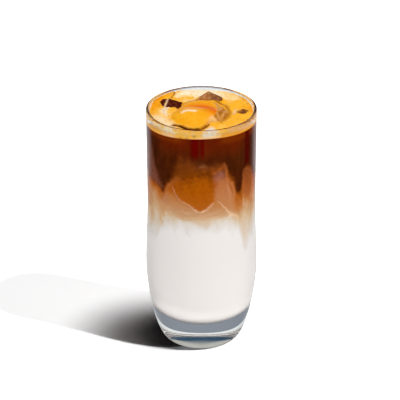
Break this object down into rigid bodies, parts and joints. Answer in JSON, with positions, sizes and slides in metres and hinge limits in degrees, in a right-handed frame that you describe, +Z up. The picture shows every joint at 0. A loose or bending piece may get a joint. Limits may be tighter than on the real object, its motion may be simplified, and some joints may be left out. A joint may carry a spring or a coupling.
{
  "type": "iced coffee in a glass",
  "caption": "Tall tumbler of layered iced coffee: milk below, a clouded band, dark coffee and golden crema with ice lumps standing out of it.",
  "frame": {"origin": "middle of the tumbler's foot, on the surface it stands on", "axes": "+Z up along the tumbler's axis, -Y towards the viewer, +X to the viewer's right"},
  "size_m": [0.067, 0.067, 0.1538],
  "materials": {
    "glass": "polished",
    "milk": "opaque liquid seen through glass",
    "blend": "clouded liquid seen through glass",
    "coffee": "dark liquid seen through glass",
    "crema": "fine foam, satin",
    "coated_ice": "wet, coated with golden foam",
    "ice": "wet clear ice over dark coffee"
  },
  "bodies": {
    "root": {"glass": "glass", "milk": "milk", "blend": "blend", "coffee": "coffee", "crema": "crema", "ice_middle": "coated_ice", "ice_back": "ice", "ice_left": "ice", "ice_right": "ice"}
  },
  "joints": []
}
